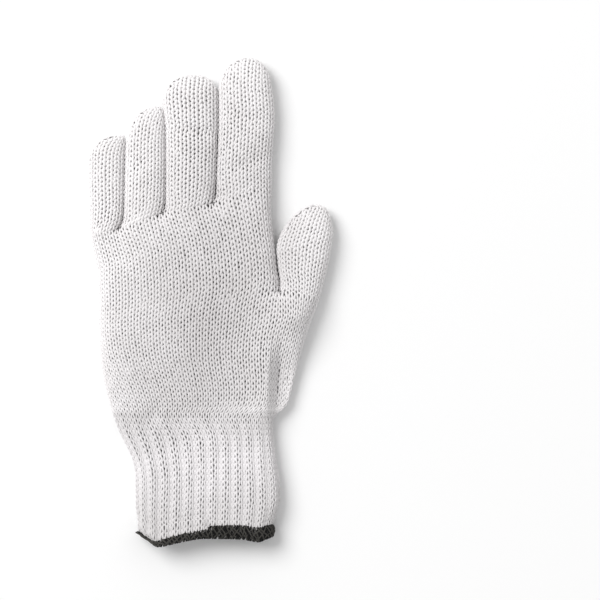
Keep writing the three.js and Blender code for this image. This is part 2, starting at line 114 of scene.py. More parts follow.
HEM_END = [(-36.6, -115.6), (-31.6, -119.1), (-26.6, -122.1), (-19.6, -120.8), (-10.1, -118.8),
           (-2.6, -117.9), (14.9, -118.2), (25.4, -119.6), (31.4, -117.6)]  # rows of (x, y)

# Digits: wales on one side, rise, tip (x, y), shoulder height, bluntness of each side, both side edges
DIGITS = {
    "little_finger": (6, 6.3, (-44.4, 83.8), 70, (2.05, 3.0),
                      [(33.9, -59.6), (51.4, -60.1), (61.4, -60.4), (68.9, -60.4), (76, -61)],
                      [(36.9, -46.1), (39.4, -45.2), (42.4, -44.4), (48.9, -43.8), (63.9, -43.5),
                       (76, -43.1), (83, -42.7)]),
    "ring_finger": (7, 7.0, (-26.2, 97.7), 80, (2.15, 3.4),
                    [(36.9, -46.1), (39.4, -44.2), (42.4, -43.2), (48.9, -42.8), (63.9, -42.5),
                     (76.4, -42.1), (84, -41.4)],
                    [(44.9, -23.6), (47.4, -23.4), (51.4, -23.1), (66.4, -22.9), (86.4, -22.9),
                     (97, -23.2)]),
    "middle_finger": (8, 8.0, (-8.6, 113.4), 101.4, (2.3, 2.4),
                      [(44.9, -23.6), (47.4, -22.4), (51.4, -22), (66.4, -22), (86.4, -22.1),
                       (95.4, -22.8), (101.4, -23.4)],
                      [(49.9, 1.6), (52.4, 1.8), (56.4, 2.1), (66.4, 2.5), (76.4, 2.9), (91.4, 3.4),
                       (101.4, 3.5)]),
    "index_finger": (9, 8.0, (18.4, 122.1), 106.4, (2.0, 2.2),
                     [(49.9, 1.6), (52.4, 2.9), (56.4, 3.3), (66.4, 3.6), (76.4, 4.1), (91.4, 4.5),
                      (106.4, 4.6)],
                     [(57.4, 30.1), (68, 30.2), (81.4, 30.9), (92.4, 31.6), (100, 31.2), (108, 30.2)]),
    "thumb": (9, 7.6, (51.9, 48.6), 26.4, (1.6, 3.2),
              [(5.7, 34.4), (8, 35.1), (11.4, 35.2), (16.4, 34.4), (26.4, 33.4)],
              [(1.9, 54.1), (11.4, 56.5), (23.9, 59.3), (33.9, 60.9)]),
}
NAMES = list(DIGITS)

# Creases and dents of the upper cloth: x, y, half length, half width on the crease's left and on its
# right, turn in degrees, depth. A negative depth is a swelling.
CREASES = [
    (30.6, -40, 22, 1.3, 2.4, 88, 1.2),
    (34.4, -41, 20, 3.1, 15, 87, 7.4),
    (43, -7, 9, 7.5, 6, 10, -2.8),
    (-28.5, -56, 7, 3.5, 3.5, 60, 1.6),
    (-16, 8, 34, 15, 15, 62, 1.1),
    (16, -30, 30, 11, 11, 100, 0.9),
    (-7, 85, 11, 3.2, 3.2, -8, 1.6),
    (19, 70, 12, 3.6, 3.6, 24, 1.3),
    (16, 93, 10, 3.2, 3.2, -20, 1.0),
    (-34, 70, 9, 3.6, 3.6, 20, 0.7),
]
print("digits:", ", ".join(NAMES))


# %% Curves through the tables
def mix(a, b, share):
    return a + (b - a) * share


def smooth(value):
    value = np.clip(value, 0, 1)
    return value * value * (3 - 2 * value)


def follow(table, at):
    """The smooth line through a table of (key, value) rows, which never swings past a row."""
    key, value = np.array(table, float).T
    step = np.diff(key)
    slope = np.diff(value) / step
    product = slope[:-1] * slope[1:]
    both = np.where(product > 0, slope[:-1] + slope[1:], 1)
    tangent = np.concatenate([slope[:1], np.where(product > 0, 2 * product / both, 0), slope[-1:]])
    at = np.clip(at, key[0], key[-1])
    i = np.clip(np.searchsorted(key, at, side="right") - 1, 0, len(step) - 1)
    t = (at - key[i]) / step[i]
    start = value[i] * (1 + 2 * t) + tangent[i] * step[i] * t
    end = value[i + 1] * (3 - 2 * t) + tangent[i + 1] * step[i] * (t - 1)
    return start * (1 - t) ** 2 + end * t * t


def lobe(share, blunt):
    """A quarter of a section's outline: 0 at the side edge and 1 at a full radius from it."""
    return (1 - (1 - np.clip(share, 0, 1)) ** blunt) ** (1 / blunt)


def creased(x, y):
    """How deep all the creases together are at a place."""
    depth = 0
    for at_x, at_y, long, left, right, turn, deep in CREASES:
        c, s = math.cos(math.radians(turn)), math.sin(math.radians(turn))
        along = ((x - at_x) * c + (y - at_y) * s) / long
        across = (y - at_y) * c - (x - at_x) * s
        across = across / np.where(across > 0, left, right)
        depth = depth + deep * np.exp(-(along**2) - across**2)
    return depth


def cloth(x, y, side, fullness, rise):
    """Points of the cloth's outside. fullness is 0 at a side edge and 1 in the middle of a section."""
    if side == "upper":
        z = MID_HEIGHT + np.maximum(0, (rise - creased(x, y)) * fullness)
    else:
        z = np.maximum(0, MID_HEIGHT - LOWER_DEPTH * fullness)
    return np.stack(np.broadcast_arrays(x, y, z), axis=-1)


FINE = 48  # steps across one channel of the palm, or across a finger
SHARES = (1 - np.cos(np.pi * np.arange(FINE + 1) / FINE)) / 2  # closer together near the edges


def length_of(line):
    """How far along a line each of its points is."""
    return np.concatenate([[0], np.cumsum(np.linalg.norm(np.diff(line, axis=0), axis=1))])


print("a finger's section reaches", float(lobe(0.5, BLUNT["upper"]).round(2)), "of its rise half way in")

# %% [markdown]
# ## Where the wales run
# The machine has a fixed set of needles, and each needle makes one wale, so wales neither start nor end in
# the middle of the cloth. The wales of the four fingers run on down the palm, those of the thumb join
# them at its fork, and all of them run through the cuff. An empty glove twists a little as it is laid
# down, so below the thumb the wales also turn round the palm. Each function below gives one half of a
# ring, upper or lower: its line, and where on that line the wales sit.

# %% The palm's wales
LOOSE = 0.2  # share of the palm's length over which the fingers' wales even out below their forks
MERGING = 0.4  # the same for the thumb's wales, below its fork
THUMB_CLOSER = 0.8  # there the thumb's wales lie closer together than those of the fingers
TWIST = 7  # millimetres by which the wales turn round the lower palm on their way to the cuff
PARTING = 13  # millimetres above and below a fork over which the wales part for it
FINGER_WALES = sum(DIGITS[name][0] for name in NAMES[:4])  # on one side of the palm above the thumb
widths = np.repeat((1, THUMB_CLOSER), (FINGER_WALES, DIGITS["thumb"][0]))
MERGED = (np.cumsum(widths) - widths / 2) / widths.sum()  # where all the wales lie, as shares of a side


def crossings(along):
    """Where a course of the palm crosses each border."""
    used = BORDERS[: THUMB_BORDER + 1] if along > THUMB_FORK else BORDERS
    y = np.array([mix(CUFF_LINE, root, along) for root, _ in used])
    return np.array([follow(rows, at) for (_, rows), at in zip(used, y)]), y


def below_fork(border, along):
    """Millimetres from a place on a border up to the fork that ends it."""
    fork = THUMB_FORK if border == THUMB_BORDER else 1
    return (fork - along) * (BORDERS[border][0] - CUFF_LINE)


def parting(above):
    """How far the wales have parted for a fork, above being the millimetres from the fork up."""
    return smooth(0.5 + above / (2 * PARTING))


def course_line(at_x, at_y, x):
    """How high a course lies at x. It is level where it meets the thumb's border."""
    points = list(zip(at_x, at_y))
    if len(points) < len(BORDERS):  # above the fork that border is the last one, so one more point follows
        points.append((at_x[-1] + 1, at_y[-1]))
    return follow(points, x)


def valley(border, along):
    """How far the valley at a border cuts down: 1 at a side edge or a fork, 0 well below the fork."""
    if border in SIDE_BORDERS:
        return 1
    below = below_fork(border, along)
    return 1 if below <= 0 else max(0, 1 - below / FORK_VALLEY) ** 2


def palm_line(along, side, parted=False):
    """One half of a ring of the palm, and how far along it the borders lie. If parted, the valleys at the
    forks are as deep as the wales have parted for them."""
    at_x, at_y = crossings(along)
    last = len(at_x) - 1
    cuts = [valley(border, along) for border in range(last + 1)]
    deep = cuts
    if parted:
        deep = [1 if border in SIDE_BORDERS else parting(-below_fork(border, along))
                for border in range(last + 1)]
    floor = 0 if parted else VALLEY_FLOOR
    rise = follow(PALM_RISE, along)
    lines, ends = [], [0]
    for digit in range(last):
        x = mix(at_x[digit], at_x[digit + 1], SHARES)
        fullness = 1
        for border, cut in enumerate(cuts):
            # the channel that lies beside the border on this side of it, and that channel's other border
            inner = border if border <= digit else border - 1
            half = (at_x[inner + 1] - at_x[inner]) / 2
            other = border + 1 if inner == border else border - 1
            # how far from the border the cloth has its full rise again
            radius = mix(half, mix(EDGE_RADIUS, half, cuts[other]), cut)
            away = np.hypot(np.abs(x - at_x[border]) / radius, floor * (1 - cut))
            fullness = fullness * (1 - deep[border] * (1 - lobe(away, BLUNT[side])))
        line = cloth(x, course_line(at_x, at_y, x), side, fullness, rise)
        ends.append(ends[-1] + length_of(line)[-1])
        lines.append(line if digit == 0 else line[1:])
    return np.concatenate(lines), ends


def laid_on(line, chart, wales):
    """The same wales on a line that rises and falls otherwise than the one that they were counted on."""
    return np.interp(np.interp(wales, length_of(chart), chart[:, 0]), line[:, 0], length_of(line))


def palm_half(along, side):
    """One half of a ring of the palm: its line and its wales."""
    chart, ends = palm_line(along, side, parted=True)
    counts = [DIGITS[name][0] for name in NAMES[: len(ends) - 1]]
    wales = np.concatenate([mix(start, end, (np.arange(count) + 0.5) / count)
                            for start, end, count in zip(ends, ends[1:], counts)])
    even = ends[THUMB_BORDER] * (np.arange(FINGER_WALES) + 0.5) / FINGER_WALES
    wales[:FINGER_WALES] = mix(wales[:FINGER_WALES], even, smooth((1 - along) / LOOSE))
    if len(ends) == len(BORDERS):
        wales = mix(wales, ends[-1] * MERGED, smooth((THUMB_FORK - along) / MERGING))
    line = palm_line(along, side)[0]
    return line, laid_on(line, chart, wales)


def palm_twist(along):
    """Millimetres by which the wales have turned round the palm, to the right on its upper side."""
    return TWIST * smooth(1 - along / THUMB_FORK)


line, wales = palm_half(0.3, "upper")
print("the palm has", len(wales), "wales on a side,", float(np.diff(wales).mean().round(2)), "mm apart")


# %% The wales of the fingers and the thumb
def digit_line(name, up, side, parted=False):
    """The line across one side of a finger, up being its share of the way to the tip. If parted, the side
    edges at a fork are as deep as the wales have parted for it."""
    _, own_rise, (tip_x, tip_y), shoulder, blunts, left, right = DIGITS[name]
    digit = NAMES.index(name)
    at_x, at_y = crossings(THUMB_FORK if name == "thumb" else 1)
    outer = SIDE_BORDERS if name == "thumb" else (0, THUMB_BORDER)  # borders that are no fork here
    base_x, base_y = at_x[digit : digit + 2], at_y[digit : digit + 2]
    root_y = course_line(at_x, at_y, mix(base_x[0], base_x[1], SHARES))
    edges = []
    for table, start, square in zip((left, right), base_y, blunts):
        y = mix(start, tip_y, up)
        rounding = np.clip((y - shoulder) / (tip_y - shoulder), 0, 1)
        edges.append(tip_x + (follow(table, y) - tip_x) * (1 - rounding**square) ** (1 / square))
    x = mix(edges[0], edges[1], SHARES)
    y = mix(root_y, tip_y, up)
    past = np.clip((y - shoulder) / (tip_y - shoulder), 0, 1)
    closing = (1 - past**TIP_BLUNT) ** (1 / TIP_BLUNT)
    fullness = lobe(2 * np.minimum(SHARES, 1 - SHARES), BLUNT[side]) * closing
    if parted:
        above = [mix(start, tip_y, up) - start for start in base_y]
        deep = [1 if border in outer else parting(high) for border, high in zip((digit, digit + 1), above)]
        fullness = 1 - np.where(SHARES < 0.5, deep[0], deep[1]) * (1 - fullness)
    return cloth(x, y, side, fullness, mix(ROOT_RISE, own_rise, smooth(up / RISE_BLEND)))


def digit_half(name, up, side):
    """One half of a ring of a finger. Past its shoulder the wales keep their distance, so those nearest
    the side edges run out there one after another."""
    count, _, (_, tip_y), shoulder = DIGITS[name][:4]
    digit = NAMES.index(name)
    base_y = crossings(THUMB_FORK if name == "thumb" else 1)[1][digit : digit + 2].mean()
    line = digit_line(name, up, side)
    turn = (shoulder - base_y) / (tip_y - base_y)
    if up < turn:
        chart = digit_line(name, up, side, parted=True)
        return line, laid_on(line, chart, length_of(chart)[-1] * (np.arange(count) + 0.5) / count)
    length = length_of(line)[-1]
    pitch = length_of(digit_line(name, turn, side))[-1] / count
    wales = length / 2 + (np.arange(count) - (count - 1) / 2) * pitch
    return line, np.clip(wales, 0, length)


line, wales = digit_half("index_finger", 0.5, "upper")
print("the index finger's wales are", float(np.diff(wales).mean().round(2)), "mm apart")

# %% The cuff's wales
RIB = 3  # wales in a rib: two that stand and one that sinks
SUNK = 1  # the first wale that sinks
CUFF_WALES = sum(DIGITS[name][0] for name in NAMES)  # on one side: all the palm's wales run on
CUFF_WAIST = (-37.1, 33.4)  # where the cuff's side edges are at its middle
EDGE_SHARE = 0.6  # share of the cuff's width, in from a side edge, that takes up that edge's flare
UPRIGHT = 0.25  # share of the cuff's length over which the fanned wales turn upright
SAME_EDGE = 0.25  # share of the cuff's length over which its side edges turn as sharp as a cuff's
HEM_LIFT_FROM = 0.7  # share of the cuff's length at which the hem begins to lift the lower cloth
HEM_LIFT_OVER = 0.2  # share of it over which that lift grows
RIBS_FROM = -0.06  # share of the cuff's length where the ribs' depth would be 0, a little above the cuff
RIBS_OVER = 0.3  # share of it over which they grow from there to their full depth


def rib_strength(down):
    """How much of their full depth the ribs have, as they fade in below the palm."""
    return smooth((down - RIBS_FROM) / RIBS_OVER)


def cuff_half(down, side):
    """One half of a ring of the cuff: down is 0 at the palm and 1 at the cut edge."""
    level = mix(CUFF_LINE, CUFF_END, down)
    edges = follow(CUFF_LEFT, level), follow(CUFF_RIGHT, level)
    x = mix(edges[0], edges[1], SHARES)
    (first, first_y), (last, last_y) = HEM_END[0], HEM_END[-1]
    place = mix(first, last, SHARES)
    end = follow(HEM_END, place) if side == "upper" else mix(first_y, last_y, SHARES)
    y = mix(CUFF_LINE, end + HEM_CLEAR + HEM_THREAD / 2, down)
    radius = mix(EDGE_RADIUS, CUFF_RADIUS, smooth(down / SAME_EDGE))
    edge = np.minimum(SHARES, 1 - SHARES) * (edges[1] - edges[0]) / radius
    line = cloth(x, y, side, lobe(edge, BLUNT[side]), follow(CUFF_RISE, down))
    if side == "lower":
        lift = HEM_LIFT * smooth((down - HEM_LIFT_FROM) / HEM_LIFT_OVER)
        line[:, 2] = np.maximum(line[:, 2], lift)
    left, right = CUFF_WAIST[0] - edges[0], edges[1] - CUFF_WAIST[1]
    length = length_of(line)[-1]
    share = (np.arange(CUFF_WALES) + 0.5) / CUFF_WALES
    keep = np.clip(1 - share / EDGE_SHARE, 0, 1) ** 2, np.clip(1 - (1 - share) / EDGE_SHARE, 0, 1) ** 2
    upright = share * (length - left - right) + left * (1 - keep[0]) + right * keep[1]
    return line, mix(MERGED * length, upright, smooth(down / UPRIGHT))


line, wales = cuff_half(0.6, "upper")
print("a rib is", float((wales[RIB] - wales[0]).round(2)), "mm wide")

# %% [markdown]
# ## A tube of cloth
# The two halves of a ring close into one loop, and rings stacked along the tube make a grid. The yarn
# will ask this grid for places between its points, so it is made four times finer than the stitches.
# The grid holds the middle of the cloth's thickness and the way out of the cloth at each point.

# %% The grid of a tube
GRID = 4  # grid steps to a wale and to a course
PAST = 1.0  # courses by which the yarn may reach past the grid at either end of a tube
FLANK_SWELL = 0.8  # millimetres by which the sides of a tube stand out, where nothing presses on them
TINY = 1e-9  # keeps a division possible where a tip closes to a point
WANDER = [(0.21, 0.07, 0.3, 0.16), (-0.09, 0.17, 1.9, 0.15), (0.13, -0.24, 4.1, 0.12),
          (0.31, 0.2, 2.6, 0.09)]  # waves of (radians a millimetre along x, along y, phase, height)


def wander(x, y):
    """The slow unevenness of an empty glove, in millimetres: a few long waves added up."""
    return sum(high * np.sin(x * a + y * b + phase) for a, b, phase, high in WANDER)


def ring(half, at, turned):
    """A closed ring from its two halves: its points, how far along it they are, and its wales, which are
    turned round the tube by some millimetres."""
    upper, upper_wales = half(at, "upper")
    lower, lower_wales = half(at, "lower")
    points = np.concatenate([upper, lower[::-1][1:]])
    lengths = length_of(points)
    wales = np.concatenate([upper_wales, lengths[-1] - lower_wales[::-1], upper_wales[:1] + lengths[-1]])
    return points, lengths, wales + turned


def tube_grid(half, place_of, courses, relief=None, twist=lambda at: 0.0):
    """The middle of the cloth and its outward way, on a grid of courses and wales."""
    rows = np.linspace(0, courses, courses * GRID + 1)
    surface, across = [], []
    for row in rows:
        points, lengths, wales = ring(half, place_of(row), twist(place_of(row)))
        run = np.roll(points[:-1], -1, axis=0) - np.roll(points[:-1], 1, axis=0)
        run = np.concatenate([run, run[:1]])
        columns = np.linspace(0, len(wales) - 1, (len(wales) - 1) * GRID + 1)
        at = np.interp(columns, np.arange(len(wales)), wales) % max(lengths[-1], TINY)
        surface.append(np.stack([np.interp(at, lengths, points[:, k]) for k in range(3)], axis=-1))
        across.append(np.stack([np.interp(at, lengths, run[:, k]) for k in range(3)], axis=-1))
    surface, across = np.array(surface), np.array(across)
    up = np.gradient(surface, axis=0)
    out = np.cross(across, up)
    out /= np.maximum(np.linalg.norm(out, axis=-1, keepdims=True), TINY)
    out *= np.sign(out[0, out.shape[1] // 4, 2])  # the middle of the upper side faces up
    lift = wander(surface[..., 0], surface[..., 1]) * np.clip(out[..., 2], 0, 1)
    lift = lift + FLANK_SWELL * (1 - np.abs(out[..., 2]))
    if relief is not None:
        lift = lift + relief(rows[:, None], columns[None, :])
    middle = surface + out * (lift - WALL / 2)[..., None]
    return middle, out


print("the grid has", GRID * GRID, "points for each loop")

# %% [markdown]
# ## The path of the yarn in a loop
# Seen flat, a loop of plain knit is shaped like the Greek letter omega: two legs that lean together at the
# foot and a wide head. Three sine waves draw it. One walks along the course and swings to and fro twice
# a loop, one goes up and down once, and one brings the legs to the front and the head and foot to the
# back. The head of each loop lies behind the legs of the next, which is what holds the cloth together.

# %% One loop, and a course of loops
STEPS = 12  # points in one loop of yarn
SWING = 0.21  # of a wale: how far the legs lean
REACH = 0.82  # of a course: half the height of a loop
DEPTH = 0.42  # millimetres from the middle of the cloth to the yarn's centre, front and back
TURN = 2 * np.pi * (np.arange(STEPS) / STEPS - 0.5)
LOOP_ACROSS = TURN / (2 * np.pi) + SWING * np.sin(2 * TURN)
LOOP_UP = REACH * np.cos(TURN)
LOOP_OUT = -DEPTH * np.cos(2 * TURN)
USUAL_WALE = 3.15  # millimetres from wale to wale at which the yarn has its usual girth
FINEST, FULLEST = 0.72, 1.12  # of that girth: closer wales press the yarn finer, down to the first
THICK_AND_THIN = 0.05  # how much the spun yarn's girth varies from loop to loop
# Places where the cloth is pulled open, which makes its holes larger: x, y, radius, and how much finer
# the yarn is there
PULLED = [(18, 78, 26, 0.08), (-51, 46, 10, 0.16), (-6, 82, 10, 0.1), (8, 8, 26, 0.07), (-30, 62, 9, 0.08),
          (22, -14, 16, 0.06)]
CLOSEST = 0.55  # of the usual distance: a wale that comes closer than this to the one before has run out
FEWEST = 4  # wales in the last ring before a tip closes
UNEVEN = 0.035  # of a stitch: how irregularly the loops lie
JITTER_SHAPE = 0.8 + 0.2 * np.cos(TURN) ** 2  # a loop's head and foot stray further than its legs
TIP_GAP = 0.12  # of a course: how far short of a closed end the last loops stop


def look_up(grid, across, up):
    """Values of a grid between its points. across wraps round the tube, and up runs on past its ends."""
    rows, columns = grid.shape[0] - 1, grid.shape[1] - 1
    u = np.mod(across * GRID, columns)
    v = up * GRID
    i = np.clip(np.floor(u).astype(int), 0, columns - 1)
    j = np.clip(np.floor(v).astype(int), 0, rows - 1)
    s, t = (u - i)[:, None], np.clip(v - j, -PAST * GRID, 1 + PAST * GRID)[:, None]
    low = mix(grid[j, i], grid[j, i + 1], s)
    high = mix(grid[j + 1, i], grid[j + 1, i + 1], s)
    return mix(low, high, t)


def loops(middle, out, row, wales, heads, squeeze=0.0, top=None):
    """The yarn of one course: its places and the way out of the cloth there. heads is 1 if the loops'
    heads point up the grid, and -1 if they point down it. squeeze narrows the sunk wales of a rib, and
    top is as far up the grid as the yarn may reach."""
    jitter = chance.normal(0, UNEVEN, (2, len(wales), 1)) * JITTER_SHAPE
    count, around = len(wales), (middle.shape[1] - 1) // GRID
    turns = (np.arange(count)[:, None] + LOOP_ACROSS + jitter[0]).ravel()
    across = np.interp(turns, np.arange(-1, count + 1), [wales[-1] - around, *wales, wales[0] + around])
    across = across - squeeze * np.sin(2 * np.pi * (across - SUNK) / RIB)
    up = (row + heads * LOOP_UP + jitter[1]).ravel()
    if top is not None:
        up = np.minimum(up, top)
    way = look_up(out, across, up)
    way /= np.linalg.norm(way, axis=1, keepdims=True)
    return look_up(middle, across, up) + way * np.tile(LOOP_OUT, len(wales))[:, None], way


def still_knitted(whole, usual):
    """The wales of a course that haven't run out, and how much room each has. whole is the distance from
    each wale to the next."""
    around = len(whole)
    spots = np.concatenate([[0], np.cumsum(np.tile(whole, 2))])
    kept = [around // 4]  # the middle of the upper side, where no wale runs out
    for wale in range(around // 4 + 1, around // 4 + around):
        if spots[wale] - spots[kept[-1]] > CLOSEST * usual:
            kept.append(wale)
    gaps = np.diff(spots[kept + [kept[0] + around]])
    order = np.argsort(np.mod(kept, around))
    return np.mod(kept, around)[order], ((gaps + np.roll(gaps, 1)) / 2)[order]


def knit(middle, out, courses, heads, squeeze=lambda row: 0.0, closed_end=False):
    """The yarn of a tube: for each course a ring of places, the way out of the cloth and the girth. At a
    closed end no loop reaches past the end of the tube."""
    around = (middle.shape[1] - 1) // GRID
    gaps = np.linalg.norm(np.diff(middle, axis=1), axis=-1)
    usual = np.median(gaps) * GRID
    rings, outs, girths = [], [], []
    for course in range(courses):
        row = gaps[round((course + 0.5) * GRID)]
        wales, room = still_knitted(row.reshape(around, GRID).sum(axis=1), usual)
        if len(wales) < FEWEST:
            continue
        top = courses - TIP_GAP if closed_end else None
        places, way = loops(middle, out, course + 0.5, wales, heads, squeeze(course + 0.5), top)
        girth = np.clip(room / USUAL_WALE, FINEST, FULLEST) * chance.normal(1, THICK_AND_THIN, len(wales))
        x, y = places[::STEPS, 0], places[::STEPS, 1]
        for at_x, at_y, radius, finer in PULLED:
            girth = girth * (1 - finer * np.exp(-((x - at_x) ** 2 + (y - at_y) ** 2) / radius**2))
        rings.append(places)
        outs.append(way)
        girths.append(np.repeat(girth, STEPS))
    return rings, outs, girths


print("a loop is", round(2 * REACH, 2), "courses tall, so it reaches into its neighbours")

# %% [markdown]
# ## From a line to yarn
# A ring of yarn starts as a circle of points, which bmesh makes, and every point is then moved to its
# place on the chart. Geometry Nodes sweep an oval profile along it. Yarn that is pulled into a knit is
# pressed flat where it crosses itself, so its section is wider than it is thick, and the flat side has to
# lie in the cloth: that is what the way out of the cloth, stored on each point, is used for.

# %% The sweep
SIDES = 5  # corners of the yarn's section


def add_node(tree, kind, settings=None, **links):
    """Adds a node, sets its properties, and sets or links its inputs, by name or by number as in0."""
    node = tree.nodes.new(kind)
    for name, value in (settings or {}).items():
        setattr(node, name, value)
    for name, value in links.items():
        key = int(name[2:]) if name[:2] == "in" and name[2:].isdigit() else name.replace("_", " ")
        socket = node.inputs[key]
        if isinstance(value, bpy.types.NodeSocket):
            tree.links.new(value, socket)
        else:
            socket.default_value = value
    return node


def sweep_nodes(width, thick):
    """Nodes that turn a wire into yarn of an oval section, in metres."""
    tree = bpy.data.node_groups.new("yarn_sweep", "GeometryNodeTree")
    tree.interface.new_socket("Geometry", in_out="INPUT", socket_type="NodeSocketGeometry")
    tree.interface.new_socket("Geometry", in_out="OUTPUT", socket_type="NodeSocketGeometry")
    start = tree.nodes.new("NodeGroupInput")
    curve = add_node(tree, "GeometryNodeMeshToCurve", Mesh=start.outputs[0])
    out = add_node(tree, "GeometryNodeInputNamedAttribute", {"data_type": "FLOAT_VECTOR"}, Name="way_out")
    held = add_node(tree, "GeometryNodeSetCurveNormal", {"mode": "FREE"}, Curve=curve.outputs[0],
                    Normal=out.outputs[0])
    girth = add_node(tree, "GeometryNodeInputNamedAttribute", {"data_type": "FLOAT"}, Name="girth")
    circle = add_node(tree, "GeometryNodeCurvePrimitiveCircle", Resolution=SIDES, Radius=1.0)
    oval = add_node(tree, "GeometryNodeTransform", Geometry=circle.outputs[0],
                    Scale=(thick / 2, width / 2, 1))
    tube = add_node(tree, "GeometryNodeCurveToMesh", Curve=held.outputs[0], Profile_Curve=oval.outputs[0],
                    Scale=girth.outputs[0])
    soft = add_node(tree, "GeometryNodeSetShadeSmooth", Geometry=tube.outputs[0])
    end = tree.nodes.new("NodeGroupOutput")
    tree.links.new(soft.outputs[0], end.inputs[0])
    return tree


def make_yarn(name, rings, outs, girths, width, thick):
    """A mesh of yarn, one closed strand for each ring of places in millimetres."""
    wire = bmesh.new()
    for places in rings:
        bmesh.ops.create_circle(wire, cap_ends=False, radius=1, segments=len(places))
    mesh = bpy.data.meshes.new(name + "_wire")
    wire.to_mesh(mesh)
    wire.free()
    mesh.vertices.foreach_set("co", (np.concatenate(rings) * MM).ravel())
    way = mesh.attributes.new("way_out", "FLOAT_VECTOR", "POINT")
    way.data.foreach_set("vector", np.concatenate(outs).ravel())
    girth = mesh.attributes.new("girth", "FLOAT", "POINT")
    girth.data.foreach_set("value", np.concatenate(girths))
    strand = bpy.data.objects.new(name + "_wire", mesh)
    scene.collection.objects.link(strand)
    sweep = strand.modifiers.new("sweep", "NODES")
    sweep.node_group = sweep_nodes(width * MM, thick * MM)
    swept = strand.evaluated_get(bpy.context.evaluated_depsgraph_get())
    yarn = bpy.data.objects.new(name, bpy.data.meshes.new_from_object(swept))
    yarn.data.name = name
    scene.collection.objects.link(yarn)
    bpy.data.objects.remove(strand)
    triangles = sum(len(face.vertices) - 2 for face in yarn.data.polygons)
    print(name, len(rings), "strands,", triangles, "triangles")
    return yarn


# %% The palm
YARN_WIDE = 1.34  # millimetres across the yarn, along the cloth
YARN_THICK = 1.0  # millimetres through it
LOW_COURSES = 11  # in each half of the palm below the thumb's fork
HIGH_COURSES = 19  # from there to the fingers
JUST_ABOVE = THUMB_FORK + 1e-6  # the first place where the thumb's wales aren't the palm's any more
pieces = {}


def knit_tube(name, half, place_of, courses, twist=lambda at: 0.0, closed_end=False):
    """A tube of plain knit. The glove is knitted from the fingertips down, so the heads point down."""
    middle, out = tube_grid(half, place_of, courses, twist=twist)
    rings, outs, girths = knit(middle, out, courses, -1, closed_end=closed_end)
    pieces[name] = make_yarn(name, rings, outs, girths, YARN_WIDE, YARN_THICK)


half_way = THUMB_FORK / 2
knit_tube("palm_heel", palm_half, lambda row: half_way * row / LOW_COURSES, LOW_COURSES, palm_twist)
knit_tube("palm_middle", palm_half, lambda row: half_way * (1 + row / LOW_COURSES), LOW_COURSES, palm_twist)
knit_tube("palm_upper", palm_half, lambda row: mix(JUST_ABOVE, 1, row / HIGH_COURSES), HIGH_COURSES)

# %% The fingers and the thumb
COURSE_PITCH = {"little_finger": 2.2, "ring_finger": 2.35, "middle_finger": 2.35, "index_finger": 2.38,
                "thumb": 2.3}  # millimetres from course to course
CLIMB_STEPS = 160  # steps in which a finger's length is measured


def climb(name):
    """How far up a finger its courses lie, evenly along the cloth, and how many there are."""
    shares = np.linspace(0, 1, CLIMB_STEPS + 1)
    line = np.array([digit_line(name, up, "upper")[FINE // 2] for up in shares])
    reached = length_of(line)
    courses = round(reached[-1] / COURSE_PITCH[name])
    return courses, lambda row: float(np.interp(row * reached[-1] / courses, reached, shares))


for name in NAMES:
    courses, place_of = climb(name)
    knit_tube(name + "_knit", lambda up, side: digit_half(name, up, side), place_of, courses,
              closed_end=True)

# %% [markdown]
# ## The cuff
# Elastic runs through the cuff and pulls its wales together, so every third one sinks between its
# neighbours and grows narrow. That is the rib. The chart stays the same: the rib is a relief on the grid
# for the sinking, and a squeeze along the course for the narrowing.

# %% The cuff's rib
CUFF_COURSES = 22
CUFF_YARN_WIDE = 1.52  # millimetres: the elastic inside makes it bulkier
FILLING_OUT = 9  # courses over which the yarn grows from the palm's width to this one
RIB_SWELL = 0.1  # millimetres by which the top of a rib stands over the plain cloth
RIB_DEPTH = 0.55  # millimetres from the top of a rib down to the sunk wale
FURROW = 1.5  # over 1 makes the furrow along a sunk wale narrower than the rib beside it
RIB_SQUEEZE = 0.16  # of a wale: a sunk wale is 0.72 as wide as it would be and a standing one 1.14


def rib_relief(row, column):
    """The ribs' relief in millimetres."""
    sunk = (0.5 + 0.5 * np.cos(2 * np.pi * (column - SUNK) / RIB)) ** FURROW
    return rib_strength(row / CUFF_COURSES) * (RIB_SWELL - RIB_DEPTH * sunk)


print("the ribs' relief goes from", round(RIB_SWELL - RIB_DEPTH, 2), "to", RIB_SWELL, "mm")
cuff_middle, cuff_out = tube_grid(cuff_half, lambda row: row / CUFF_COURSES, CUFF_COURSES, rib_relief,
                                  lambda down: TWIST)
rings, outs, girths = knit(cuff_middle, cuff_out, CUFF_COURSES, 1,
                           lambda row: RIB_SQUEEZE * rib_strength(row / CUFF_COURSES), closed_end=True)
girths = [girth * mix(YARN_WIDE / CUFF_YARN_WIDE, 1, smooth(course / FILLING_OUT))
          for course, girth in enumerate(girths)]

# %% The last courses lap over the hem
LAPPED = (19, 20)  # the courses that do so, the last course of all staying inside the hem
LAP = 1.1  # millimetres by which they are lifted
LAP_END = 1.0  # the x at which they dive under the hem
LAP_RAMP = 4  # millimetres over which they rise from there to the left
for course in LAPPED:
    places, way = rings[course], outs[course]
    over = LAP * smooth((LAP_END - places[:, 0]) / LAP_RAMP) * np.clip(way[:, 2], 0, 1)
    rings[course] = places + way * over[:, None]
half_cuff = CUFF_COURSES // 2
for name, part in (("cuff_rib_top", slice(0, half_cuff)), ("cuff_rib_end", slice(half_cuff, None))):
    pieces[name] = make_yarn(name, rings[part], outs[part], girths[part], CUFF_YARN_WIDE, YARN_THICK)

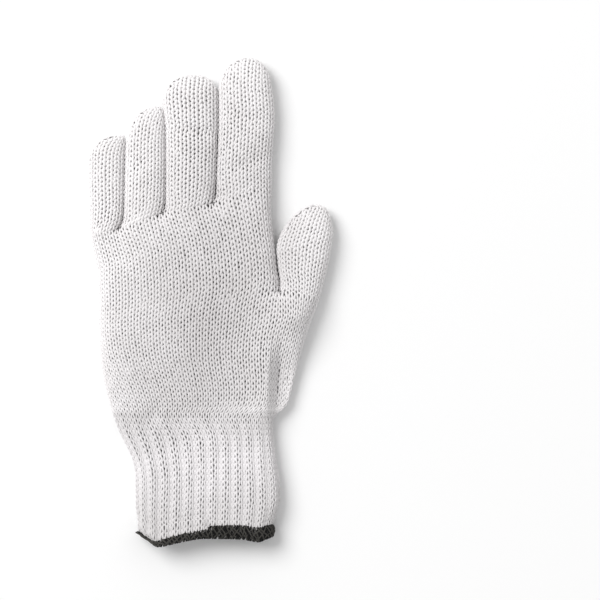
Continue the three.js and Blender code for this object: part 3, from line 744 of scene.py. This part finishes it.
# %% [markdown]
# ## The overlocked hem
# The cuff's cut edge would ladder, so dark thread is wound over it by an overlock machine. Each turn goes
# through the cloth above the edge and comes back round below it, leaning as the cloth moves on.
# One long winding round the whole mouth is one closed strand. Two more windings lie over it and lean both
# ways, so the band has the criss-cross look of an overlock stitch; their thread is drawn a lighter grey as
# a painted highlight on these top turns. On the left the last courses of the cuff lap over the band in pale
# loops.

# %% The winding
HEM_TURNS = 150  # turns of the dark thread round the cut edge
TURN_STEPS = 14  # points in one turn
# The greyer thread below is the painted highlight of the two windings on top
COVER_THREAD = 0.75  # thickness of the greyer thread
# The two windings on top, grey as a painted highlight: turns, lean, millimetres by which they lie over the
# dark one, unevenness
COVERS = [(74, -1.3, 0.35, 0.2), (37, 0.9, 0.25, 0.3)]
COVER_START = 0.4  # wales from the left edge to where they begin
HEM_OUT = WALL / 2 + HEM_THREAD / 2  # from the middle of the cloth to the middle of the dark thread
HEM_BOXY = 0.75  # under 1 makes the winding's section boxier
HEM_SHOWN = [(-36.6, 0.4), (-31, 0.8), (-27.5, 2.2), (-25, 3.7), (-18, 4.8), (-4, 5.2), (1, 6.2), (26, 7),
             (31.4, 5.6)]  # rows of (x, height)
HEM_UNDER = 5  # the most height that the winding has on the lower side
WALES_ROUND = CUFF_WALES * 2  # wales round the whole cuff


def winding(turns, lean, out_by, start, uneven):
    """One strand wound round the cuff's edge: its places and the way out of the winding there. lean and
    uneven count in wales, and out_by is its distance in millimetres from the middle of the cloth."""
    steps = np.arange(turns * TURN_STEPS)
    angle = 2 * np.pi * steps / TURN_STEPS
    leans = np.repeat(lean * chance.normal(1, 2 * uneven, turns), TURN_STEPS)
    across = start + WALES_ROUND * steps / len(steps) + leans * np.sin(angle)
    across = across + np.repeat(chance.normal(0, uneven, turns), TURN_STEPS)
    edge = look_up(cuff_middle, across, np.full(len(steps), float(CUFF_COURSES)))
    above = look_up(cuff_middle, across, np.full(len(steps), CUFF_COURSES - 2.0))
    wall = (above - edge) / np.linalg.norm(above - edge, axis=1, keepdims=True)
    out = look_up(cuff_out, across, np.full(len(steps), float(CUFF_COURSES)))
    out /= np.linalg.norm(out, axis=1, keepdims=True)
    upper = np.mod(across + 0.5, WALES_ROUND) < WALES_ROUND / 2
    shown = follow(HEM_SHOWN, edge[:, 0])
    height = np.where(upper, shown, np.minimum(shown, HEM_UNDER))
    bow = np.sign(np.cos(angle)) * np.abs(np.cos(angle)) ** HEM_BOXY
    rise = height / 2 - HEM_CLEAR + (height / 2) * np.sin(angle)
    side = out * (bow * out_by)[:, None]
    places = edge + wall * rise[:, None] + side
    way = side + wall * np.sin(angle)[:, None]
    return places, way / np.linalg.norm(way, axis=1, keepdims=True)


def wind(name, strands, thick):
    """A piece of round thread from its strands."""
    pieces[name] = make_yarn(name, [places for places, _ in strands], [way for _, way in strands],
                             [np.ones(len(places)) for places, _ in strands], thick, thick)


wind("hem_winding", [winding(HEM_TURNS, lean=0.5, out_by=HEM_OUT, start=0.0, uneven=0.13)], HEM_THREAD)
wind("hem_cover", [winding(turns, lean, HEM_OUT + over, COVER_START, uneven)
                   for turns, lean, over, uneven in COVERS], COVER_THREAD)

# %% [markdown]
# ## Materials
# The yarn and the hem's thread are both spun from short fibres, so they have no gloss: light enters
# between the fibres and leaves softened, with a pale fuzz where the strand turns away. In a Principled
# shader that is nearly full roughness and some sheen. A spun strand is also uneven, which a noise gives
# in colour and bump. One fibre is about 0.02 mm thick, too fine to show, so the noise is as coarse as a
# tuft of them.

# %% The finishes
def linear(code):
    """The linear colour of an sRGB hex code."""
    parts = [int(code[i : i + 2], 16) / 255 for i in (1, 3, 5)]
    return [c / 12.92 if c <= 0.04045 else ((c + 0.055) / 1.055) ** 2.4 for c in parts] + [1]


SHADES = (0.55, 1.05)  # values of the noise at which the yarn is darkest and lightest
PATCH_MM = 14  # size of the patches in which its shade wanders
PATCH_SHARE = 0.6  # how much they count beside the fibres
GREY_FADE = (0.1, 1.3)  # shares of the half axes between which the grey below changes
# Where the yarn's colour is darkened: the shade that it is multiplied with, middle, half axes, turn in
# degrees, and how dark it is in the middle and outside
# Painted shade: the middle of the palm is darkened as its own shape would shade it, less towards the
# fingers and the sides
PALM_PAINTED_SHADE = ("#e1e0e0", (0, -10, 8), (46, 97, 80), -11, 1.0, 0.0)
# The cuff is darkened towards the palm and the hem and is lightest in its middle
CUFF_ENDS_DARKER = ("#dddddb", (-3, -79, 8), (70, 36, 60), 0, 0.0, 1.0)


def yarn_material(name, light, dark, sheen, roughness, fibre_mm, bump_mm, darkening=None):
    """A spun yarn: two shades of it, its sheen and roughness, the size and height of its fuzz, and where
    its colour is darkened."""
    material = bpy.data.materials.new(name)
    material.use_nodes = True
    tree = material.node_tree
    shader = tree.nodes["Principled BSDF"]
    place = add_node(tree, "ShaderNodeTexCoord").outputs["Object"]
    fibre = add_node(tree, "ShaderNodeTexNoise", Vector=place, Scale=1 / (fibre_mm * MM), Detail=3.0)
    patch = add_node(tree, "ShaderNodeTexNoise", Vector=place, Scale=1 / (PATCH_MM * MM), Detail=2.0)
    both = add_node(tree, "ShaderNodeMath", {"operation": "MULTIPLY_ADD"}, in0=patch.outputs["Fac"],
                    in1=PATCH_SHARE, in2=fibre.outputs["Fac"])
    share = add_node(tree, "ShaderNodeMapRange", Value=both.outputs[0], From_Min=SHADES[0],
                     From_Max=SHADES[1])
    colour = add_node(tree, "ShaderNodeMix", {"data_type": "RGBA"}, in0=share.outputs[0], in6=linear(dark),
                      in7=linear(light))
    fuzz = add_node(tree, "ShaderNodeBump", Height=fibre.outputs["Fac"], Distance=bump_mm * MM,
                    Strength=1.0)
    shade = colour.outputs[2]
    # A shade multiplied in over an oval: painted shade on the palm, and darker ends on the cuff
    if darkening:
        grey, at, half, turn, inside, outside = darkening
        oval = add_node(tree, "ShaderNodeMapping", {"vector_type": "TEXTURE"}, Vector=place,
                        Location=[value * MM for value in at], Rotation=(0, 0, math.radians(turn)),
                        Scale=[value * MM for value in half])
        far = add_node(tree, "ShaderNodeVectorMath", {"operation": "LENGTH"}, in0=oval.outputs[0])
        amount = add_node(tree, "ShaderNodeMapRange", Value=far.outputs["Value"], From_Min=GREY_FADE[0],
                          From_Max=GREY_FADE[1], To_Min=inside, To_Max=outside)
        shade = add_node(tree, "ShaderNodeMix", {"data_type": "RGBA", "blend_type": "MULTIPLY"},
                         in0=amount.outputs[0], in6=shade, in7=linear(grey)).outputs[2]
    tree.links.new(shade, shader.inputs["Base Color"])
    tree.links.new(fuzz.outputs[0], shader.inputs["Normal"])
    shader.inputs["Roughness"].default_value = roughness
    shader.inputs["Specular IOR Level"].default_value = 0.2
    shader.inputs["Sheen Weight"].default_value = sheen
    shader.inputs["Sheen Roughness"].default_value = 0.6
    return material


# Bleached cotton string: a matt, slightly fuzzy white, with painted shade darkening the middle of the palm
string_yarn = yarn_material("cotton_string_yarn", "#fbf9fa", "#eeebeb", 0.3, 0.95, 0.5, 0.12, PALM_PAINTED_SHADE)
# The same string knitted over elastic: as matt and a shade less white, darker towards the palm and the hem
# than in the cuff's middle
elastic_yarn = yarn_material("cotton_yarn_over_elastic", "#f8f5f7", "#eae7e8", 0.3, 0.95, 0.5, 0.12,
                             CUFF_ENDS_DARKER)
# Dyed thread, twisted hard: a dull near black, in which single turns hardly show
overlock_thread = yarn_material("charcoal_overlock_thread", "#151414", "#060606", 0.03, 0.85, 0.4, 0.08)
# The same thread in a warm dark grey, a painted highlight, which shows as lighter crossing lines on the
# band
cover_thread_highlit = yarn_material("overlock_thread_painted_highlight", "#52504c", "#262523", 0.03, 0.85, 0.4, 0.08)
print("materials:", string_yarn.name, elastic_yarn.name, overlock_thread.name, cover_thread_highlit.name)

# %% Every piece on its body and in its finish
STANDS_FOR = {
    "palm_heel": "palm", "palm_middle": "palm", "palm_upper": "palm", "cuff_rib_top": "rib_cuff",
    "cuff_rib_end": "rib_cuff", "hem_winding": "overlock_hem", "hem_cover": "overlock_hem",
    **{name + "_knit": name for name in NAMES},
}
FINISH = {
    "cuff_rib_top": (elastic_yarn, "cuff_yarn"),
    "cuff_rib_end": (elastic_yarn, "cuff_yarn"),
    "hem_winding": (overlock_thread, "overlock_thread"),
    "hem_cover": (cover_thread_highlit, "overlock_thread"),
}
for name, piece in pieces.items():
    material, slot = FINISH.get(name, (string_yarn, "knit_yarn"))
    piece.data.materials.clear()
    piece.data.materials.append(material)
    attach(piece, "root")
    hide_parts(STANDS_FOR[name])
print(len(pieces), "pieces ride on the root body")

# %% [markdown]
# ## Floor, light and camera
# The glove lies on white and is seen from straight above through a long lens, so no side of it shows
# more than another. One wide soft light stands to the upper left, and the pale surroundings fill in
# the rest.

# %% The floor
FLOOR_SIZE = 3.0  # metres
floor_mesh = bpy.data.meshes.new("floor")
shape = bmesh.new()
bmesh.ops.create_grid(shape, x_segments=1, y_segments=1, size=FLOOR_SIZE / 2)
shape.to_mesh(floor_mesh)
shape.free()
floor = bpy.data.objects.new("floor", floor_mesh)
scene.collection.objects.link(floor)
# Uncoated paper: an even white without a highlight, on which only the glove's shadow shows
paper = bpy.data.materials.new("white_paper")
paper.use_nodes = True
paper.node_tree.nodes["Principled BSDF"].inputs["Base Color"].default_value = linear("#fafafa")
paper.node_tree.nodes["Principled BSDF"].inputs["Roughness"].default_value = 0.9
floor_mesh.materials.append(paper)
print("the floor is", FLOOR_SIZE, "m wide")

# %% The light
KEY_PLACE = Vector((-2.6, 2.0, 3.7))  # metres
KEY_SIZE = 3.2  # metres across
KEY_POWER = 178  # watts
FILL = 0.56  # brightness of the pale surroundings
key_data = bpy.data.lights.new("key", "AREA")
key_data.shape = "DISK"
key_data.size = KEY_SIZE
key_data.energy = KEY_POWER
key = bpy.data.objects.new("key", key_data)
key.location = KEY_PLACE
key.rotation_euler = (-KEY_PLACE).to_track_quat("-Z", "Y").to_euler()
scene.collection.objects.link(key)
world = bpy.data.worlds.new("studio")
world.use_nodes = True
world.node_tree.nodes["Background"].inputs["Color"].default_value = linear("#ffffff")
world.node_tree.nodes["Background"].inputs["Strength"].default_value = FILL
scene.world = world
scene.view_settings.view_transform = "Standard"
print("the key light is", round(KEY_PLACE.length, 2), "m away and", KEY_SIZE, "m across")

# %% The camera
SEEN = 0.300  # metres across the picture
PICTURE = 600  # pixels
GLOVE_AT = (210.25, 302.75)  # pixel that the origin falls on
LENS, SENSOR = 200.0, 36.0  # millimetres
camera_data = bpy.data.cameras.new("camera")
camera_data.lens = LENS
camera_data.sensor_width = SENSOR
camera = bpy.data.objects.new("camera", camera_data)
pixel = SEEN / PICTURE
middle_height = (cad_box[0][2] + cad_box[1][2]) / 2
camera.location = ((PICTURE / 2 - GLOVE_AT[0]) * pixel, (GLOVE_AT[1] - PICTURE / 2) * pixel,
                   middle_height + SEEN * LENS / SENSOR)
scene.collection.objects.link(camera)
scene.camera = camera
print("camera at", [round(v, 4) for v in camera.location])
